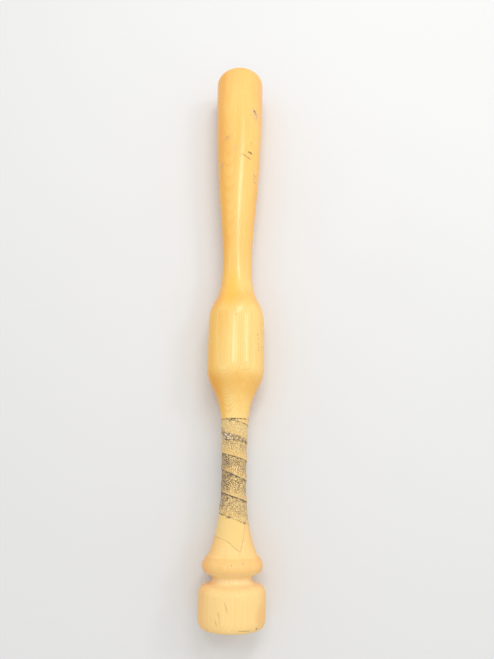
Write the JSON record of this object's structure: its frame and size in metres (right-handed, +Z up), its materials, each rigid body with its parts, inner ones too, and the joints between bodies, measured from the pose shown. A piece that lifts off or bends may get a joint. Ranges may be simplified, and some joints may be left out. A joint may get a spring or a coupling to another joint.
{
  "type": "wooden training bat",
  "caption": "Short turned wooden bat with a tapered barrel, slim neck, thick bulge, cloth-wound handle, bead and large flat-ended knob.",
  "frame": {"origin": "centre of the knob's flat end", "axes": "+Y along the bat's axis towards the tip, +Z up with the bat lying on a level surface, +X to its right seen from the knob"},
  "size_m": [0.0602, 0.6096, 0.0602],
  "materials": {
    "wood": "pale hardwood, clear gloss lacquer on barrel and bulge, matte on handle and knob",
    "grip_cloth": "matte beige cloth, worn and speckled with dirt"
  },
  "bodies": {
    "root": {"turned_bat": "wood", "grip_strip": "grip_cloth"}
  },
  "joints": []
}
